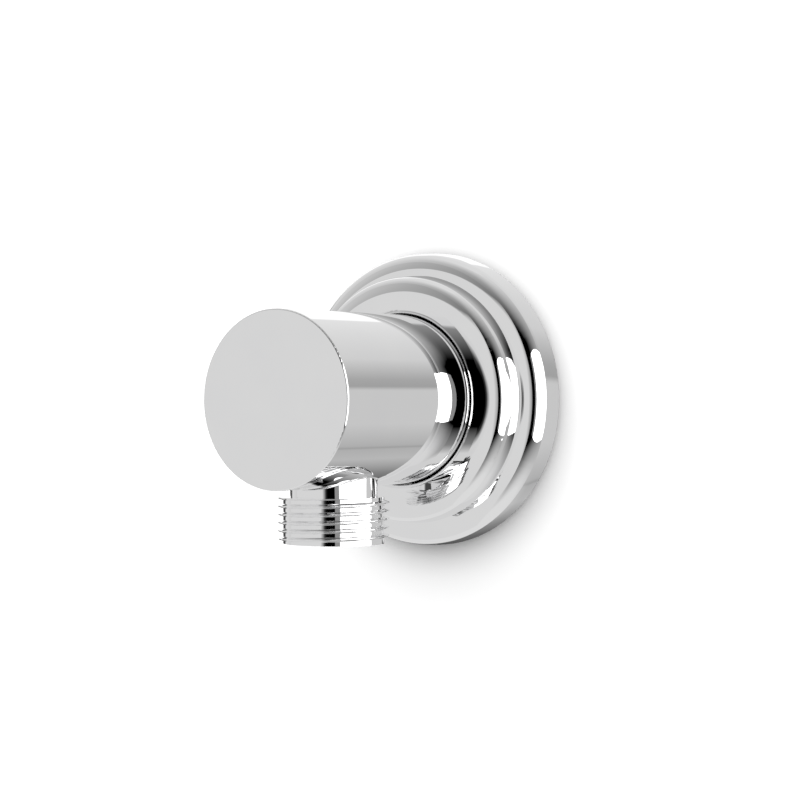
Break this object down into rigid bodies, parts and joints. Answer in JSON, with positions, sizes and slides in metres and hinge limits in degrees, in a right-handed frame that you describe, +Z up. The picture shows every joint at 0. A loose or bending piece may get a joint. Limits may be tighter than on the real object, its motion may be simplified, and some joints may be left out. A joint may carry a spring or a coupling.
{
  "type": "wall outlet elbow",
  "caption": "Round chrome wall outlet elbow for a hand shower hose: plain barrel through a stepped rose, threaded outlet pointing down, spring check valve inside.",
  "frame": {"origin": "barrel axis where it meets the finished wall", "axes": "+Y into the wall along the inlet thread, -Y out of the wall to the front, +Z up, outlet along -Z"},
  "size_m": [0.0582, 0.066, 0.0582],
  "materials": {
    "chrome": "polished chrome plate",
    "brass": "machined",
    "seal_rubber": "matte",
    "gasket": "matte",
    "housing_plastic": "moulded",
    "guide_plastic": "moulded",
    "poppet_plastic": "moulded",
    "spring_steel": "drawn wire"
  },
  "bodies": {
    "elbow": {"elbow_body": "chrome", "wall_flange": "chrome", "flange_o_ring": "seal_rubber", "inlet_nipple": "brass", "inlet_gasket": "gasket", "check_valve_housing": "housing_plastic", "check_valve_o_ring": "seal_rubber", "check_valve_guide": "guide_plastic", "check_valve_spring": "spring_steel"},
    "poppet": {"check_valve_poppet": "poppet_plastic", "poppet_seal": "seal_rubber"}
  },
  "joints": [
    {"name": "poppet_slide", "type": "slide", "parent": "elbow", "child": "poppet", "axis": [0, -1, 0], "range_m": [0, 0.0025], "stiffness_N_per_m": 60, "springref_m": -0.004, "deforming": ["check_valve_spring"]}
  ]
}
